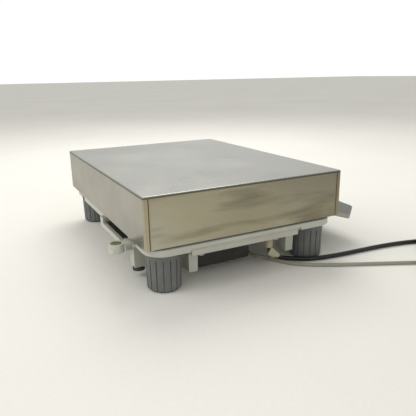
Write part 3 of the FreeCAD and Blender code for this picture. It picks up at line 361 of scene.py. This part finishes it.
def make_materials():
    sheet = (25, 900, 900)
    return {
        "pan_steel": pan_steel(),
        "cell_aluminium": metal("cell_aluminium", (0.66, 0.66, 0.65), 0.34, 0.2, (30, 900, 900)),
        "zinc_plate": metal("zinc_plate", (0.56, 0.55, 0.50), 0.42, 0.4, sheet),
        "screw_steel": metal("screw_steel", (0.42, 0.42, 0.40), 0.33, 0.4),
        "support_casting": metal("support_casting", (0.50, 0.50, 0.49), 0.55, 0.3, (700, 700, 700)),
        "black_rubber": moulded("black_rubber", (0.028, 0.028, 0.027), 0.75),
        "base_enamel": enamel("base_enamel", (0.50, 0.505, 0.44), (0.44, 0.44, 0.375)),
        "bush_brass": metal("bush_brass", (0.66, 0.50, 0.22), 0.3, 0.3),
        "tray_plastic": moulded("tray_plastic", (0.014, 0.013, 0.010), 0.55, dust=0.06),
        "board_laminate": laminate(),
        "transformer_core": metal("transformer_core", (0.17, 0.16, 0.15), 0.5, 0.3, (20, 20, 2500)),
        "socket_plastic": moulded("socket_plastic", (0.035, 0.035, 0.04), 0.35),
        "vial_body": moulded("vial_body", (0.075, 0.07, 0.04), 0.4),
        "vial_glass": glass("vial_glass", (0.26, 0.25, 0.10), 0.5),
        "console_dark": moulded("console_dark", (0.25, 0.255, 0.25), 0.5, 1800, 0.2),
        "console_light": moulded("console_light", (0.36, 0.355, 0.30), 0.5, 1800, 0.2),
        "window_glass": glass("window_glass", (0.03, 0.035, 0.035), 0.35),
        "key_green": moulded("key_green", (0.05, 0.16, 0.08), 0.45),
        "key_grey": moulded("key_grey", (0.40, 0.40, 0.37), 0.45),
        "gland_nylon": moulded("gland_nylon", (0.42, 0.37, 0.24), 0.45),
        "mains_cord": moulded("mains_cord", (0.007, 0.007, 0.006), 0.4, 900, 0.1, 0.05),
        "data_cord": moulded("data_cord", (0.30, 0.29, 0.23), 0.5, 900, 0.1, 0.3),
        "plug_shell": metal("plug_shell", (0.55, 0.55, 0.53), 0.28, 0.15),
        "clip_nylon": moulded("clip_nylon", (0.36, 0.35, 0.24), 0.45),
        "foot_plastic": moulded("foot_plastic", (0.125, 0.128, 0.122), 0.55, 1600, 0.25, 0.25),
    }


# --- objects ---------------------------------------------------------------------------------------


def add_object(name, mesh, slot, body):
    """Put a finished mesh or curve in the scene, with its finish, on its body."""
    made = bpy.data.objects.new(name, mesh)
    bpy.context.scene.collection.objects.link(made)
    made.data.materials.append(materials[slot])
    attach(made, body)
    return made


# --- cords -----------------------------------------------------------------------------------------

MAINS_DIAMETER = 0.0065
DATA_DIAMETER = 0.005
COIL_RADIUS_IN_CORDS = 5.6
TAIL_IN_CORDS = 8
COIL_LEVELS = 2
TURNS_IN_LEVEL = 3
POINTS_IN_TURN = 16
TURN_SPACING = 1.05
CLIMB_TURNS = 0.25
# The way from the coil's middle to where its turns end.
LEAVE = (-0.2, -1)
TAIL_FALL = (0, 0.08, 0.45, 0.88, 1)
TAIL_DRIFT = 0.0002
TIE_RADIUS = 0.0007
TIE_LIFT = 0.0008
TIE_CORNER = 0.001
MAINS_TIE_TURN = 0.6
DATA_TIE_TURN = 0.9
MAINS_REST = 0.0075
DATA_REST = 0.0055

# From the exit to the coil, X and Y from the pan's middle.
MAINS_ROUTE = [
    (-0.175, -0.045, 0.027),
    (-0.1746, -0.0465, 0.0215),
    (-0.173, -0.0505, 0.0155),
    (-0.1708, -0.057, 0.010),
    (-0.1705, -0.0655, 0.005),
    (-0.174, -0.073, 0.00325),
    (-0.181, -0.080, 0.00325),
    (-0.188, -0.089, 0.00325),
    (-0.195, -0.101, 0.00325),
    (-0.1998, -0.116, 0.00325),
    (-0.203, -0.135, 0.00325),
    (-0.2055, -0.159, 0.00325),
    (-0.207, -0.186, 0.00325),
    (-0.2085, -0.216, 0.00325),
    (-0.2115, -0.246, 0.00325),
    (-0.216, -0.273, 0.00325),
    (-0.2225, -0.298, 0.00325),
    (-0.232, -0.3317, 0.00325),
]
MAINS_COIL = (-0.2733, -0.3201)
DATA_ROUTE = [
    (-0.110, -0.031, 0.017),
    (-0.1106, -0.034, 0.0164),
    (-0.113, -0.0368, 0.0138),
    (-0.1175, -0.0383, 0.0098),
    (-0.1235, -0.0386, 0.0058),
    (-0.130, -0.0388, 0.0032),
    (-0.1375, -0.0402, 0.0025),
    (-0.1455, -0.044, 0.0025),
    (-0.1535, -0.049, 0.0025),
    (-0.163, -0.054, 0.0025),
    (-0.174, -0.0588, 0.0025),
    (-0.187, -0.0655, 0.0025),
    (-0.200, -0.0755, 0.0025),
    (-0.2115, -0.090, 0.0025),
    (-0.222, -0.107, 0.0025),
    (-0.232, -0.126, 0.0025),
    (-0.242, -0.147, 0.0025),
    (-0.2515, -0.1675, 0.0025),
    (-0.2615, -0.188, 0.0025),
    (-0.271, -0.208, 0.0025),
    (-0.2805, -0.2275, 0.0025),
    (-0.2954, -0.2581, 0.0025),
]
DATA_COIL = (-0.3251, -0.2436)


def coil_points(entry, centre, diameter, rest):
    """Turns that wind inwards on the floor and back out on top of themselves, then the tail."""
    mean = COIL_RADIUS_IN_CORDS * diameter
    outside = 1 / math.cos(math.pi / POINTS_IN_TURN)
    start = math.atan2(entry[1] - centre[1], entry[0] - centre[0])
    leave = math.atan2(LEAVE[1], LEAVE[0])
    spare = (leave - start) % math.tau
    level = TURNS_IN_LEVEL * math.tau
    whole = COIL_LEVELS * level - spare
    count = round(whole / math.tau * POINTS_IN_TURN)
    points = []
    for i in range(1, count):
        turned = whole * i / count
        inward = min(turned, whole - turned) / level * (TURNS_IN_LEVEL - 1) * TURN_SPACING
        climb = min(max((turned - level + spare / 2) / (CLIMB_TURNS * math.tau) + 0.5, 0), 1)
        radius = (mean + diameter - inward * diameter) * outside
        angle = start - turned
        x = centre[0] + radius * math.cos(angle)
        y = centre[1] + radius * math.sin(angle)
        points.append((x, y, diameter * (0.5 + climb * climb * (3 - 2 * climb))))
    x = centre[0] + LEAVE[0] * mean
    y = centre[1] - mean - diameter
    z = 1.5 * diameter
    step = TAIL_IN_CORDS * diameter / (len(TAIL_FALL) - 1)
    for i, fallen in enumerate(TAIL_FALL):
        points.append((x - i * step, y - TAIL_DRIFT * i, z - fallen * (z - rest)))
    return points


def add_cord(name, route, centre, diameter, rest, slot):
    points = route + coil_points(route[-1], centre, diameter, rest)
    curve = bpy.data.curves.new(name, "CURVE")
    curve.dimensions = "3D"
    curve.bevel_depth = diameter / 2
    curve.bevel_resolution = 5
    curve.resolution_u = 6
    curve.use_fill_caps = True
    spline = curve.splines.new("NURBS")
    spline.points.add(len(points) - 1)
    for point, (x, y, z) in zip(spline.points, points):
        point.co = (PAN.x + x, PAN.y + y, z, 1)
    spline.order_u = 3
    spline.use_endpoint_u = True
    return add_object(name, curve, slot, "base")


def spline_line(cord):
    """Points along a cord's centre line, read from its own spline."""
    bare = cord.data.copy()
    bare.bevel_depth = 0
    holder = bpy.data.objects.new("line", bare)
    mesh = bpy.data.meshes.new_from_object(holder)
    line = [v.co.copy() for v in mesh.vertices]
    bpy.data.objects.remove(holder)
    return line


def line_length(line):
    return sum((b - a).length for a, b in zip(line, line[1:]))


def coil_tie(name, centre, diameter, turn):
    """A soft wire tie wrapped round the coil's section."""
    mean = COIL_RADIUS_IN_CORDS * diameter
    half, tall = 1.5 * diameter, 2 * diameter
    lift, corner = TIE_LIFT, TIE_CORNER
    loop = [
        (-half - lift, tall * 0.5),
        (-half + corner, tall + lift),
        (0, tall + 0.9 * lift),
        (half - corner, tall + lift),
        (half + lift, tall * 0.5),
        (half - corner, lift),
        (0, 0.9 * lift),
        (-half + corner, lift),
    ]
    curve = bpy.data.curves.new(name, "CURVE")
    curve.dimensions = "3D"
    curve.bevel_depth = TIE_RADIUS
    curve.bevel_resolution = 3
    spline = curve.splines.new("NURBS")
    spline.points.add(len(loop) - 1)
    out = Vector((math.cos(turn), math.sin(turn), 0))
    middle = PAN + Vector((*centre, 0))
    for point, (across, up) in zip(spline.points, loop):
        at = middle + out * (mean + across)
        point.co = (at.x, at.y, up, 1)
    spline.order_u = 3
    spline.use_cyclic_u = True
    return add_object(name, curve, "black_rubber", "base")


def add_cords():
    power = add_cord("mains_flex", MAINS_ROUTE, MAINS_COIL, MAINS_DIAMETER, MAINS_REST, "mains_cord")
    data = add_cord("data_flex", DATA_ROUTE, DATA_COIL, DATA_DIAMETER, DATA_REST, "data_cord")
    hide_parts("power_cord", "power_cord_coil")
    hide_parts("data_cable", "data_cable_coil")
    power_pieces = ["power_plug", "power_plug_pins", "cord_clip"]
    data_pieces = ["data_plug", "data_plug_shell"]
    for i in (0, 1):
        turn = i * math.pi
        power_pieces.append(coil_tie(f"mains_tie_{i}", MAINS_COIL, MAINS_DIAMETER, MAINS_TIE_TURN + turn))
        data_pieces.append(coil_tie(f"data_tie_{i}", DATA_COIL, DATA_DIAMETER, DATA_TIE_TURN + turn))
    for cord, route, diameter, far_end, pieces in (
        (power, MAINS_ROUTE, MAINS_DIAMETER, "plug", power_pieces),
        (data, DATA_ROUTE, DATA_DIAMETER, "connector", data_pieces),
    ):
        line_length(spline_line(cord))


# --- make it ---------------------------------------------------------------------------------------

materials = make_materials()
add_camera()
add_cords()
add_world()
add_area_light("key", *KEY)
add_area_light("fill", *FILL)
add_floor()
for part in frame["record"]["subparts"]:
    shown = nodes[part["node"]]
    shown.data.materials.clear()
    shown.data.materials.append(materials[part["material_slot"]])

bpy.context.scene.view_settings.view_transform = "Standard"
